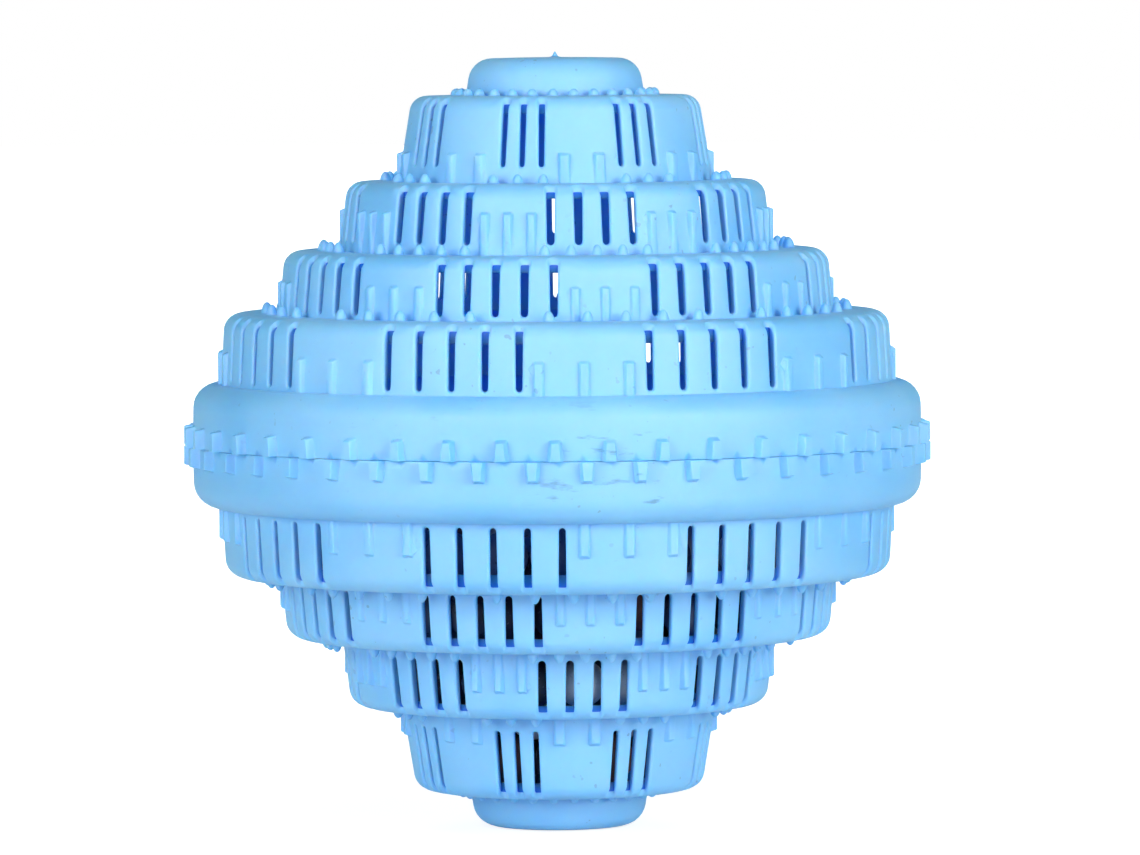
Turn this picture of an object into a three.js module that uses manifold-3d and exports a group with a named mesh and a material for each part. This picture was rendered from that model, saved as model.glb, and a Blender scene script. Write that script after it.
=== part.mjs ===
// Laundry ball: two equal stepped half shells of soft blue plastic, pushed together
// at the seam, with a loose charge of ceramic balls in the lower half.
// Millimetres, +Z up along the axis, origin under the middle of the foot.
// Angles are in degrees round the axis, from the front (-Y) towards +X.
import * as THREE from 'three';
import { mergeVertices } from 'three/addons/utils/BufferGeometryUtils.js';
import Module from 'manifold-3d';

const wasm = await Module();
wasm.setup();

// Half shell, as heights above the seam and radii from the axis
const HALF_HEIGHT = 53.9;
const WALL = 1.7;
const SEAM_GAP = 0.3;
const FACETS = 32;
const RIM_CHORDS = 2;
const GROUPS = 8;

// Each step is a wall that leans in from its foot to its head, rounded over into a ledge.
const BAND = { ledge: 8.6, foot: 51.0, head: 51.0, rim: 3.4 };
const CAP = { ledge: HALF_HEIGHT, foot: 12.5, head: 12.15, rim: 3.3 };

// Slots and ribs stand in eight groups round a step: middle is one group's middle angle,
// and farShift is how much further round the groups on the far side stand.
const STEPS = [
  {
    ledge: 18.35, foot: 47.0, head: 46.6, rim: 2.4, farShift: 1.1,
    slots: { count: 5, pitch: 5.77, middle: -17.8, above: 0.5, width: 1.0 },
    ribs: { count: 3, pitch: 7.5, middle: 4.5, height: 4.5, width: 1.3, reach: 47.4 },
  },
  {
    ledge: 27.05, foot: 38.8, head: 38.2, rim: 2.4, farShift: 0,
    slots: { count: 5, pitch: 6.0, middle: -12.5, above: 0.5, width: 1.15 },
    ribs: { count: 3, pitch: 6.1, middle: 9.9, height: 4.5, width: 1.1, reach: 39.0 },
  },
  {
    ledge: 36.7, foot: 30.3, head: 29.4, rim: 2.4, farShift: 2.4,
    slots: { count: 4, pitch: 7.4, middle: 9.7, above: 1.4, width: 1.15 },
    ribs: { count: 3, pitch: 6.3, middle: -12.7, height: 5.7, width: 1.2, reach: 30.5 },
  },
  {
    ledge: 48.6, foot: 22.0, head: 20.4, rim: 2.4, farShift: 0,
    slots: { count: 3, pitch: 7.35, middle: -12.6, above: 2.2, width: 1.0 },
    ribs: { count: 2, pitch: 13.0, middle: 9.7, height: 4.0, width: 1.45, reach: 22.2 },
  },
];

// Grip pegs along the seam edge of the band
const PEGS = { count: 44, first: -0.3, height: 2.7, width: 1.35, reach: 52.3 };

// Each half is one moulding. It is kept as rings, cut just over every ledge, so that each is a simple shape.
const RING_NAMES = ['band', 'step_1', 'step_2', 'step_3', 'end'];
const RING_GAP = 0.1;

// Push-fit tongues: each half has four, which stand in the gaps between the other's four
const TONGUES = { count: 4, span: 40, inner: 47.1, outer: 48.85, reach: 5.0, arcSteps: 4 };

// The lower half is the same moulding, turned over about a level axis at this angle.
const TURN_OVER_ANGLE = -14.3;

// Between these angles from that axis, the far side's shift eases in.
const SIDE_ANGLE = 100;
const FAR_ANGLE = 150;

// Ceramic balls
const BALL = 6.9;
const BALL_GAP = 0.2;
const BALL_PITCH = BALL + BALL_GAP;
const BALL_SIDES = 8;

const degrees = THREE.MathUtils.degToRad;

// A point at an angle round the axis, a radius from it and a height
function placed(angle, radius, height) {
  const turn = degrees(angle);
  return new THREE.Vector3(Math.sin(turn) * radius, -Math.cos(turn) * radius, height);
}

// A closed three.js geometry as a solid that can be joined and cut
function toSolid(source) {
  const bare = new THREE.BufferGeometry();
  bare.setAttribute('position', source.getAttribute('position'));
  bare.setIndex(source.index);
  const merged = mergeVertices(bare, 1e-4);
  const corners = merged.index.array;
  const kept = [];
  for (let i = 0; i < corners.length; i += 3) {
    const [a, b, c] = corners.slice(i, i + 3);
    if (a !== b && b !== c && c !== a) kept.push(a, b, c);
  }
  const mesh = new wasm.Mesh({
    numProp: 3,
    vertProperties: merged.attributes.position.array,
    triVerts: new Uint32Array(kept),
  });
  return new wasm.Manifold(mesh);
}

// A joined or cut solid as a three.js geometry again
function toGeometry(solid) {
  const mesh = solid.getMesh();
  const geometry = new THREE.BufferGeometry();
  geometry.setAttribute('position', new THREE.BufferAttribute(mesh.vertProperties, 3));
  geometry.setIndex(new THREE.BufferAttribute(mesh.triVerts, 1));
  geometry.computeVertexNormals();
  return geometry;
}

// An upright block at an angle round the axis, between two radii and two heights
function block(angle, width, innerRadius, outerRadius, low, high) {
  const geometry = new THREE.BoxGeometry(width, outerRadius - innerRadius, high - low);
  geometry.rotateZ(degrees(angle));
  const middle = placed(angle, (innerRadius + outerRadius) / 2, (low + high) / 2);
  return toSolid(geometry.translate(middle.x, middle.y, middle.z));
}

// An angle with the shift of the far side added, which eases in behind the ball's sides
function shifted(angle, farShift) {
  const away = Math.abs(THREE.MathUtils.euclideanModulo(angle - TURN_OVER_ANGLE + 180, 360) - 180);
  return angle + farShift * THREE.MathUtils.smoothstep(away, SIDE_ANGLE, FAR_ANGLE);
}

// The angles of a group of like features, repeated in every group round the axis
function groupedAngles({ count, pitch, middle }, farShift) {
  const angles = [];
  for (let group = 0; group < GROUPS; group += 1) {
    for (let i = 0; i < count; i += 1) {
      const angle = middle + group * 360 / GROUPS + (i - (count - 1) / 2) * pitch;
      angles.push(shifted(angle, farShift));
    }
  }
  return angles;
}

// The rounded edge between a wall and its ledge, from the ledge down to the wall
function rimPoints({ ledge, head, rim }) {
  const points = [];
  for (let i = 0; i <= RIM_CHORDS; i += 1) {
    const turn = (1 - i / RIM_CHORDS) * Math.PI / 2;
    const radius = head - rim + rim * Math.cos(turn);
    points.push(new THREE.Vector2(radius, ledge - rim + rim * Math.sin(turn)));
  }
  return points;
}

// The stepped shell itself, turned about the axis, open at the seam
function steppedShell() {
  const walls = [BAND, ...STEPS, CAP];
  const outside = [new THREE.Vector2(0, HALF_HEIGHT)];
  for (let i = walls.length - 1; i >= 0; i -= 1) {
    const footHeight = i > 0 ? walls[i - 1].ledge : SEAM_GAP / 2;
    outside.push(...rimPoints(walls[i]), new THREE.Vector2(walls[i].foot, footHeight));
  }
  const inside = [];
  walls.forEach((wall, i) => {
    const low = i > 0 ? walls[i - 1].ledge - WALL : SEAM_GAP / 2;
    inside.push(new THREE.Vector2(wall.head - WALL, low));
    inside.push(new THREE.Vector2(wall.head - WALL, wall.ledge - WALL));
  });
  inside.push(new THREE.Vector2(0, HALF_HEIGHT - WALL));
  const profile = [...outside, ...inside].reverse();
  return toSolid(new THREE.LatheGeometry(profile, FACETS).rotateX(Math.PI / 2));
}

// The slots through one step's wall, from just above its foot to its rounded rim
function stepSlots(step, footHeight) {
  const { slots, head, foot, ledge, rim, farShift } = step;
  const low = footHeight + slots.above;
  const high = ledge - rim;
  return groupedAngles(slots, farShift).map((angle) => (
    block(angle, slots.width, head - 2 * WALL, foot + WALL, low, high)
  ));
}

// The upright ribs on one step's wall, sunk into the ledge that they stand on
function stepRibs(step, footHeight) {
  const { ribs, head, farShift } = step;
  const low = footHeight - WALL / 2;
  const high = footHeight + ribs.height;
  return groupedAngles(ribs, farShift).map((angle) => (
    block(angle, ribs.width, head - WALL / 2, ribs.reach, low, high)
  ));
}

// The grip pegs along the seam edge of the band
function bandPegs() {
  const pegs = [];
  for (let i = 0; i < PEGS.count; i += 1) {
    const angle = PEGS.first + i * 360 / PEGS.count;
    pegs.push(block(angle, PEGS.width, BAND.head - WALL / 2, PEGS.reach, SEAM_GAP / 2, PEGS.height));
  }
  return pegs;
}

// A curved slab about the axis, between two angles, two radii and two heights
function arcSlab(fromAngle, toAngle, innerRadius, outerRadius, low, high) {
  const outline = new THREE.Shape();
  const corner = placed(fromAngle, outerRadius, 0);
  const start = degrees(fromAngle - 90);
  const end = degrees(toAngle - 90);
  outline.moveTo(corner.x, corner.y);
  outline.absarc(0, 0, outerRadius, start, end, false);
  outline.absarc(0, 0, innerRadius, end, start, true);
  outline.closePath();
  const settings = { depth: high - low, bevelEnabled: false, curveSegments: TONGUES.arcSteps };
  return toSolid(new THREE.ExtrudeGeometry(outline, settings).translate(0, 0, low));
}

// The tongues that reach past the seam, each carried by a thicker root on its own band
function bandTongues() {
  const slabs = [];
  const first = TURN_OVER_ANGLE - 360 / TONGUES.count / 4;
  const { inner, outer, reach, span } = TONGUES;
  for (let i = 0; i < TONGUES.count; i += 1) {
    const from = first + i * 360 / TONGUES.count - span / 2;
    slabs.push(arcSlab(from, from + span, inner, outer, -reach, reach));
    slabs.push(arcSlab(from, from + span, inner, BAND.head - WALL / 2, SEAM_GAP, reach));
  }
  return slabs;
}

// One half shell as rings, with the seam at height zero and the end cap up
function halfShellRings() {
  const added = [...bandPegs(), ...bandTongues()];
  const removed = [];
  let footHeight = BAND.ledge;
  for (const step of STEPS) {
    added.push(...stepRibs(step, footHeight));
    removed.push(...stepSlots(step, footHeight));
    footHeight = step.ledge;
  }
  const joined = wasm.Manifold.union([steppedShell(), ...added]);
  let rest = joined.subtract(wasm.Manifold.union(removed));
  const rings = [];
  for (const { ledge } of [BAND, ...STEPS.slice(0, -1)]) {
    rings.push(rest.trimByPlane([0, 0, -1], -ledge));
    rest = rest.trimByPlane([0, 0, 1], ledge + RING_GAP);
  }
  return [...rings, rest].map(toGeometry);
}

function bluePlastic() {
  return new THREE.MeshStandardMaterial({ color: '#82c6f6', roughness: 0.55, metalness: 0 });
}

function ceramic(color) {
  return new THREE.MeshStandardMaterial({ color, roughness: 0.6, metalness: 0 });
}

const BALL_COLOURS = [
  { name: 'white', color: '#dedbd5' },
  { name: 'grey', color: '#5f6266' },
  { name: 'brown', color: '#704a3e' },
  { name: 'black', color: '#2f3033' },
];

// How far a ball rises over another when it nests this far to its side
function nestingRise(sideways) {
  return Math.sqrt(BALL_PITCH ** 2 - sideways ** 2);
}

// Distance across between two points on rings, at this angle from each other
function across(radiusA, radiusB, angle) {
  return Math.sqrt(radiusA ** 2 + radiusB ** 2 - 2 * radiusA * radiusB * Math.cos(degrees(angle)));
}

// Rings of balls from the end cap up: they lie on the cap, on the first ledge and on each other.
function ballRings() {
  const clear = WALL + BALL_GAP + BALL / 2;
  const ledgeFloor = HALF_HEIGHT - STEPS[STEPS.length - 1].ledge;
  const five = 5;
  const fiveTurn = 180 / five;
  const thirteen = 13;
  const thirteenTurn = 180 / thirteen;
  const capRadius = CAP.head - clear;
  const innerRadius = capRadius + 0.9;
  const outerRadius = STEPS[STEPS.length - 1].head - clear;

  const capHeight = clear;
  const innerLow = capHeight + nestingRise(across(capRadius, innerRadius, fiveTurn));
  const innerHigh = innerLow + nestingRise(across(innerRadius, innerRadius, fiveTurn));
  const outerLow = ledgeFloor + clear;
  const outerHigh = outerLow + nestingRise(across(outerRadius, outerRadius, thirteenTurn));
  const middleLow = capHeight + nestingRise(capRadius);
  return [
    { count: five, radius: capRadius, height: capHeight, turn: 0 },
    { count: 1, radius: 0, height: middleLow, turn: 0 },
    { count: thirteen, radius: outerRadius, height: outerLow, turn: 0 },
    { count: five, radius: innerRadius, height: innerLow, turn: fiveTurn },
    { count: 1, radius: 0, height: middleLow + BALL_PITCH, turn: 0 },
    { count: thirteen, radius: outerRadius, height: outerHigh, turn: thirteenTurn },
    { count: five, radius: innerRadius, height: innerHigh, turn: 0 },
    { count: 1, radius: 0, height: middleLow + 2 * BALL_PITCH, turn: 0 },
  ];
}

// The loose charge: one mesh for each ball, the colours mixed along the rings
function ballCharge() {
  const charge = new THREE.Group();
  const made = new Map();
  let serial = 0;
  for (const { count, radius, height, turn } of ballRings()) {
    for (let i = 0; i < count; i += 1) {
      const { name, color } = BALL_COLOURS[(serial * 3 + Math.floor(serial / 4)) % BALL_COLOURS.length];
      const number = (made.get(name) ?? 0) + 1;
      made.set(name, number);
      const round = new THREE.SphereGeometry(BALL / 2, BALL_SIDES, BALL_SIDES / 2);
      const ball = new THREE.Mesh(round.rotateX(Math.PI / 2), ceramic(color));
      ball.name = `ceramic_ball_${name}_${String(number).padStart(2, '0')}`;
      ball.position.copy(placed(turn + i * 360 / count, radius, height));
      charge.add(ball);
      serial += 1;
    }
  }
  return charge;
}

// A half as a group of named rings, with the seam at the middle of the ball
function halfGroup(name, rings) {
  const half = new THREE.Group();
  rings.forEach((geometry, i) => {
    const ring = new THREE.Mesh(geometry, bluePlastic());
    ring.name = `${name}_${RING_NAMES[i]}`;
    half.add(ring);
  });
  half.position.z = HALF_HEIGHT;
  return half;
}

const rings = halfShellRings();
const upperHalf = halfGroup('upper_half', rings);
const lowerHalf = halfGroup('lower_half', rings);
lowerHalf.quaternion.setFromAxisAngle(placed(TURN_OVER_ANGLE, 1, 0), Math.PI);

const laundryBall = new THREE.Group();
laundryBall.add(lowerHalf, upperHalf, ballCharge());

export default laundryBall;
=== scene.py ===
"""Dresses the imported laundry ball: two moulded half shells, the ceramic balls in them and a plain studio.

Shells are worked out in millimetres in a half's own place, with the seam at height zero and the end cap up.
Angles are in degrees round the axis, from the front (-Y) towards +X.
"""
import math
from collections import namedtuple

import bmesh
import bpy
import numpy as np
from bpy.props import FloatProperty, FloatVectorProperty, IntProperty, PointerProperty
from mathutils import Matrix, Vector
from mathutils.geometry import delaunay_2d_cdt


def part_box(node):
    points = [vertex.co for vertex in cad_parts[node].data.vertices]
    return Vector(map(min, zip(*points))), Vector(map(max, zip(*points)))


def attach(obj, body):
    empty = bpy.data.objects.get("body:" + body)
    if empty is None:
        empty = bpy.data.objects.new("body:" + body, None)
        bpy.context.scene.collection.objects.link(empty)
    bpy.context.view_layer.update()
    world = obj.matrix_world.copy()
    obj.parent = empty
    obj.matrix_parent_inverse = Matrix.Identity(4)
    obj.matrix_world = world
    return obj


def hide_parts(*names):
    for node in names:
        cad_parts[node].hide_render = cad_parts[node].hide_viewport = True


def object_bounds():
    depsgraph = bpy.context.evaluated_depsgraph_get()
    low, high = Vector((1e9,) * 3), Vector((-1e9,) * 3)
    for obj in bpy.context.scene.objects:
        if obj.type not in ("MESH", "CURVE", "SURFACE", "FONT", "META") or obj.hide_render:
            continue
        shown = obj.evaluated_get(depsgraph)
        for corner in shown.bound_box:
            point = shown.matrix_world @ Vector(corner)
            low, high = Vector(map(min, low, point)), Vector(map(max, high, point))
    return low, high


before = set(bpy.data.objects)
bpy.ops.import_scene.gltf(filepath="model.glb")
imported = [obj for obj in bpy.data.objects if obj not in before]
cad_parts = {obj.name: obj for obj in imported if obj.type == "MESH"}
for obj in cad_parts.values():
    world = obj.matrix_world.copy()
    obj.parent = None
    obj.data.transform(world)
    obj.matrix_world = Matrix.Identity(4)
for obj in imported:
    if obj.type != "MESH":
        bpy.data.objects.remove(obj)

bl_info = {
    "name": "Laundry Ball",
    "version": (1, 0, 0),
    "blender": (4, 5, 0),
    "location": "3D View > Sidebar > Laundry Ball",
    "description": "Half shells, ceramic balls and studio of a laundry ball",
    "category": "Add Mesh",
}

CAD_LOW, CAD_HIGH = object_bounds()
MM = 0.001
SEAM_HEIGHT = (CAD_LOW.z + CAD_HIGH.z) / 2
HALF_HEIGHT = SEAM_HEIGHT / MM
PEG_REACH = CAD_HIGH.x / MM

# Groups of slots and ribs round each step, and the pegs and studs that keep a count of their own
GROUPS = 8
SECTOR = 360.0 / GROUPS
PEG_COUNT = 44
PEG_CELL = 360.0 / PEG_COUNT
CAP_STUD_COUNT = 30
CAP_CELL = 360.0 / CAP_STUD_COUNT
BAND_STEPS = 10
CAP_STEPS = 8

Slots = namedtuple("Slots", "count pitch middle above width face")
Ribs = namedtuple("Ribs", "count pitch middle height width reach")
Studs = namedtuple("Studs", "count pitch middle radius height")
Wall = namedtuple("Wall", "ledge foot head rim slots ribs studs", defaults=(None, None, None))

# Rise of the cap's end and of the seam edge, and how far each wall's skin runs on past its rim
CROWN = 0.12
SEAM_EDGE = 0.03
BAND_LEDGE = 0.05
STEP_LEDGE = 0.8
CAP_LEDGE = 1.0

BAND = Wall(8.6, 51.05, 50.95, 3.4)
CAP = Wall(HALF_HEIGHT - CROWN, 12.5, 12.15, 3.3)
STEPS = (
    Wall(18.35, 47.0, 46.6, 2.4, Slots(5, 5.77, -17.8, 0.5, 1.06, 1.8),
         Ribs(3, 7.5, 4.5, 4.5, 1.3, 47.46), Studs(5, 7.45, 13.4, 40.6, 1.5)),
    Wall(27.05, 38.8, 38.2, 2.4, Slots(5, 6.0, -12.5, 0.5, 1.17, 1.1),
         Ribs(3, 6.1, 9.9, 4.5, 1.1, 39.0), Studs(5, 6.3, 9.9, 32.6, 1.5)),
    Wall(36.7, 30.3, 29.4, 2.4, Slots(4, 7.4, 9.7, 1.3, 1.22, 0.9),
         Ribs(3, 6.3, -12.7, 5.7, 1.1, 30.5), Studs(3, 8.5, -12.6, 23.9, 1.3)),
    Wall(48.6, 22.0, 20.4, 2.4, Slots(3, 7.35, -12.6, 2.2, 0.86, 1.5),
         Ribs(2, 13.0, 9.7, 4.0, 1.4, 22.2)),
)
CAP_STUDS = Studs(1, CAP_CELL, -1.3, 13.9, 1.0)
PEGS = Ribs(1, PEG_CELL, -0.3, 2.7, 1.35, PEG_REACH)

# A peg flares towards the seam edge, which is rounded.
PEG_FLARE = 0.2
SEAM_ROUND = 0.12

# A slot narrows towards its foot, widens to the inside and runs out over the rim in a groove.
SLOT_TAPER = 0.15
SLOT_FLARE = 0.08
SLOT_STRAIGHT = 0.92
SLOT_END = 1.08
SLOT_CORNER = 0.35
CORNER_POWER = 0.7
SILL_POWER = 4
FACE_SETBACK = 0.05
GROOVE_LENGTH = 1.05
GROOVE_DEPTH = 0.62
GROOVE_RAMP = 1.2
EDGE_RINGS = 5

# A stud has a rounded top and a small root, which ends at this share of its radius.
STUD_ROOT = 0.16
STUD_ROOT_END = 1.3
STUD_ROOT_WIDTH = 0.3
STUD_ROUNDING = 0.62

# The gate's nib: a narrow point on a wider foot, each with its share of the height and its width
NIB_POINT = (0.72, 0.28)
NIB_FOOT = (0.28, 0.55)

# The push-fit tongues, as in the solids
TONGUE_COUNT = 4
TONGUE_SPAN = 40.0
TONGUE_INNER = 47.1
TONGUE_OUTER = 48.85
TONGUE_REACH = 5.0
TONGUE_STEPS = 24
TONGUE_CHAMFER = 0.4
TONGUE_INNER_LEAD = 0.6
TONGUE_LEAD = (0.5, 0.8)
TONGUE_SHOULDER = (0.4, 1.0)

# The lower half is the same moulding, turned over about a level axis at this angle.
TURN_OVER_ANGLE = -14.3

# On the far side the groups stand a little further round: the shift by radius, and where it eases in.
SHIFT_RADII = (23.0, 28.0, 30.8, 36.5, 39.5, 45.0, 47.6, 49.5)
FAR_SHIFTS = (0.0, 1.35, 1.35, 0.4, 0.4, 1.1, 1.1, 0.0)
SIDE_ANGLE = 100.0
FAR_ANGLE = 150.0

# Finishes of the shell: its outside, its inside and the end faces deep in the slots, which carry painted
# shade
OUTSIDE, INSIDE, SHADED_SLOT_END = range(3)

# Mesh spacing, distances that its points keep clear of forms, and the closer rings at the cap's middle
GRID = 1.35
CLEAR_OF_EDGE = 0.4
CLEAR_OF_FOOT = 0.2
CLEAR_OF_SILL = 0.3
CLEAR_OF_STUD = 0.3
CAP_CENTRE = 1.2
CAP_RADII = (0.9, 0.65, 0.45, 0.3, 0.15)

# Numbers of mesh rows and columns, and of passes that find a wall's lean
ARC_ROWS = 7
END_STEPS = 6
STUD_SIDES = 12
LEAST_COLUMNS = 8
LEAST_SIDES = 10
LEAN_PASSES = 5

# Mesh columns and rows at a rib, in units of its edge, counted from its sides and its top
RIB_COLUMNS = (-1.0, -0.5, 0.0, 0.5, 1.0)
RIB_SIDE = 2.2
FLARED_SIDES = (1.6, 2.2, 2.8)
RIB_TOP_ROWS = (-1.1, -0.5, 0.0, 0.5, 1.1, 2.2)
BELOW_RIB_TOP = 3
ABOVE_RIB_TOP = 5

# Mesh rings of a stud by its radius, columns beside a peg by its cell and rows by the seam's rounding
STUD_RINGS = (0.35, 0.62, 0.82, 0.94, 1.0, 1.1, 1.35)
BESIDE_PEG = (0.0, 0.12, 0.24)
SEAM_ROWS = (0.12, 0.4, 1.0)

# In degrees: columns closer than the first become one, angles closer than the second are the same, and points
# that spread over more than the third aren't those of one slot
COLUMN_GAP = 0.28
SAME_ANGLE = 1e-4
WIDEST_SLOT = 4.0

# In metres, the distance at which points are welded, and in millimetres the one at which a fill joins them
WELD = 2e-6
FILL_LIMIT = 1e-6

# Lamps: where each stands and the length of its side, in metres
FRONT_LAMP = ((0.0, -1.35, 0.45), 1.0)
KEY_LAMP = ((0.0, -0.35, 1.25), 1.0)
LEFT_LAMP = ((-0.88, -0.95, 0.40), 0.8)
RIGHT_LAMP = ((0.88, -0.95, 0.40), 0.8)
BACK_LAMP = ((0.0, 1.30, 0.40), 1.0)

# The floor, in metres: its reach, the share of plain white that the camera sees at its middle, and the
# distances between which that rises to the whole
FLOOR_REACH = 6.0
FLOOR_WHITE = 0.55
FLOOR_FADE = (0.12, 0.40)


def length_setting(name, description, default):
    return FloatProperty(name=name, description=description, default=default, unit="LENGTH")


def power_setting(name, description, default):
    return FloatProperty(name=name, description=description, default=default, unit="POWER")


def colour_setting(name, description, default):
    return FloatVectorProperty(
        name=name, description=description, default=default, subtype="COLOR", min=0.0, max=1.0)


class ShellSettings(bpy.types.PropertyGroup):
    """Sizes and colour of the moulded half shells."""

    wall: length_setting("Wall", "Thickness of the shell", 1.2 * MM)
    slot_edge: length_setting("Slot edge", "Radius of the rounded slot edges", 0.4 * MM)
    rib_edge: length_setting("Rib edge", "Half the width over which a rib's side rises", 0.2 * MM)
    stud_width: length_setting("Stud width", "Width of the small studs on the ledges", 1.55 * MM)
    nib_height: length_setting("Gate nib", "Height of the moulding gate's nib on the upper cap", 0.8 * MM)
    colour: colour_setting("Plastic", "Colour of the soft plastic", (0.178, 0.55, 0.95))
    # Painted shade: a deeper blue painted on the end faces deep in the slots, which lie in shade
    slot_shade_colour: colour_setting(
        "Painted slot shade", "Deeper blue painted as shade on the end faces deep in the slots", (0.012, 0.16, 0.75))
    # Painted light: a faint glow that the inside and the slots' end faces emit, in place of light let through
    # the plastic
    painted_glow: colour_setting(
        "Painted glow", "Faint glow painted on the inside and in the slots, in place of light let through the plastic", (0.002, 0.018, 0.062))


class BallSettings(bpy.types.PropertyGroup):
    """Size, number and colours of the ceramic balls."""

    diameter: length_setting("Diameter", "Diameter of a ceramic ball", 6.9 * MM)
    fill_height: length_setting("Fill height", "Height of the charge above the foot", 45.0 * MM)
    seed: IntProperty(name="Seed", description="Seed of the balls' places", default=7)
    colour_seed: IntProperty(name="Colour seed", description="Seed of the balls' colours", default=14784)
    white: colour_setting("White", "Colour of the white balls", (0.73, 0.71, 0.66))
    grey: colour_setting("Grey", "Colour of the grey balls", (0.16, 0.20, 0.27))
    brown: colour_setting("Brown", "Colour of the red-brown balls", (0.162, 0.069, 0.048))
    black: colour_setting("Black", "Colour of the black balls", (0.022, 0.026, 0.036))


class StageSettings(bpy.types.PropertyGroup):
    """Camera, lamps and floor."""

    distance: length_setting("Distance", "From the ball's axis to the camera", 1.12)
    eye_height: length_setting("Eye height", "Camera above the seam", 0.0595)
    aim_right: length_setting("Aim right", "Aim beside the axis", 0.0018)
    aim_up: length_setting("Aim up", "Aim above the seam", 0.0020)
    focal_length: FloatProperty(
        name="Focal length", description="Lens on a 36 mm sensor", default=252.6, unit="CAMERA")
    roll: FloatProperty(
        name="Roll", description="Camera turned about its view", default=math.radians(0.35), unit="ROTATION")
    front_power: power_setting("Front lamp", "Power of the lamp over the camera that gives the sheen", 9.0)
    key_power: power_setting("Top lamp", "Power of the lamp above the ball", 3.5)
    left_power: power_setting("Left lamp", "Power of the lamp at the front left", 12.0)
    right_power: power_setting("Right lamp", "Power of the lamp at the front right", 14.6)
    back_power: power_setting("Back lamp", "Power of the lamp behind the ball", 15.0)
    surround: FloatProperty(
        name="Surround", description="Strength of the light from all round", default=0.02)


def ring_points(angle, radius, height):
    """Points at angles round the axis, as an array of x, y and z."""
    turn = np.radians(angle)
    return np.stack(np.broadcast_arrays(np.sin(turn) * radius, -np.cos(turn) * radius, height), axis=-1)


def group_angles(row):
    """The angles of one group of like features."""
    return row.middle + (np.arange(row.count) - (row.count - 1) / 2) * row.pitch


def offset(angle, middle, span=SECTOR):
    """How far an angle is past the middle of its cell, the short way round."""
    return (angle - middle + span / 2) % span - span / 2


def level(angles, along):
    """Points at these angles, all at one distance along."""
    return [(angle, along) for angle in angles]


def grid_of(angles, rows):
    """Points at every angle on every row."""
    return np.array([(angle, row) for row in rows for angle in angles]).reshape(-1, 2)


def smooth(value):
    """Zero below zero and one above one, with a smooth step between."""
    share = np.clip(value, 0.0, 1.0)
    return share * share * (3.0 - 2.0 * share)


def eased(value, edge):
    """One well below the edge and zero well above it, with a smooth step of two units between."""
    return smooth((edge - value + 1.0) / 2.0)


class WallCurve:
    """The section of one wall: up its lean, over its rounded rim and in along its ledge."""

    def __init__(self, wall, base, inner_end):
        self.wall = wall
        self.base = base
        self.centre_radius = wall.head - wall.rim
        self.centre_height = wall.ledge - wall.rim
        self.lean = 0.0
        for _ in range(LEAN_PASSES):
            across = wall.foot - self.centre_radius - wall.rim * math.cos(self.lean)
            up = self.centre_height + wall.rim * math.sin(self.lean) - base
            self.lean = math.atan2(across, up)
        self.lean_length = math.hypot(across, up)
        self.arc_length = wall.rim * (math.pi / 2 - self.lean)
        self.inner_end = inner_end
        self.length = self.lean_length + self.arc_length + self.centre_radius - inner_end

    def at(self, along, depth=0.0):
        """Radius and height at a distance along the section, this deep under the skin."""
        past_lean = np.asarray(along, float) - self.lean_length
        turn = self.lean + np.clip(past_lean / self.wall.rim, 0.0, math.pi / 2 - self.lean)
        below = np.minimum(past_lean, 0.0)
        beyond = np.maximum(past_lean - self.arc_length, 0.0)
        reach = self.wall.rim - depth
        radius = self.centre_radius + reach * np.cos(turn) - below * math.sin(self.lean) - beyond
        height = self.centre_height + reach * np.sin(turn) + below * math.cos(self.lean)
        return radius, height

    def inner_low(self, depth):
        """Where the inside of the wall meets the underside of the ledge that it stands on."""
        return -depth * (1.0 - math.sin(self.lean)) / math.cos(self.lean)

    def rows(self, low=0.0):
        """Distances along the section at which the mesh has rows."""
        steps = max(2, math.ceil((self.lean_length - low) / GRID))
        lean = np.linspace(low, self.lean_length, steps + 1)
        arc = self.lean_length + np.linspace(0.0, self.arc_length, ARC_ROWS + 1)[1:]
        return np.concatenate([lean, arc, [self.length]])


class Skin:
    """Collects triangles in millimetres and makes one welded object of them."""

    def __init__(self):
        self.points = []
        self.faces = []
        self.finishes = []
        self.count = 0

    def add(self, points, faces, copies=1, flip=False, finish=OUTSIDE):
        """Adds points and triangles of one finish, and copies of them turned round the axis."""
        faces = np.asarray(faces, int)
        if flip:
            faces = faces[:, ::-1]
        for copy in range(copies):
            turn = 2.0 * math.pi * copy / copies
            spin = np.array([[math.cos(turn), math.sin(turn), 0.0],
                             [-math.sin(turn), math.cos(turn), 0.0],
                             [0.0, 0.0, 1.0]])
            self.points.append(points @ spin)
            self.faces.append(faces + self.count)
            self.finishes.append(np.full(len(faces), finish))
            self.count += len(points)

    def to_object(self, name, place=Matrix.Identity(4), sharp=40.0):
        """The welded, smooth object, with its place in its mesh."""
        mesh = bpy.data.meshes.new(name)
        points = np.concatenate(self.points) * MM
        mesh.from_pydata(points.tolist(), [], np.concatenate(self.faces).tolist())
        mesh.polygons.foreach_set("material_index", np.concatenate(self.finishes))
        work = bmesh.new()
        work.from_mesh(mesh)
        bmesh.ops.remove_doubles(work, verts=work.verts, dist=WELD)
        work.to_mesh(mesh)
        work.free()
        mesh.transform(place)
        mesh.shade_smooth()
        mesh.set_sharp_from_angle(angle=math.radians(sharp))
        piece = bpy.data.objects.new(name, mesh)
        bpy.context.scene.collection.objects.link(piece)
        return piece


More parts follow.
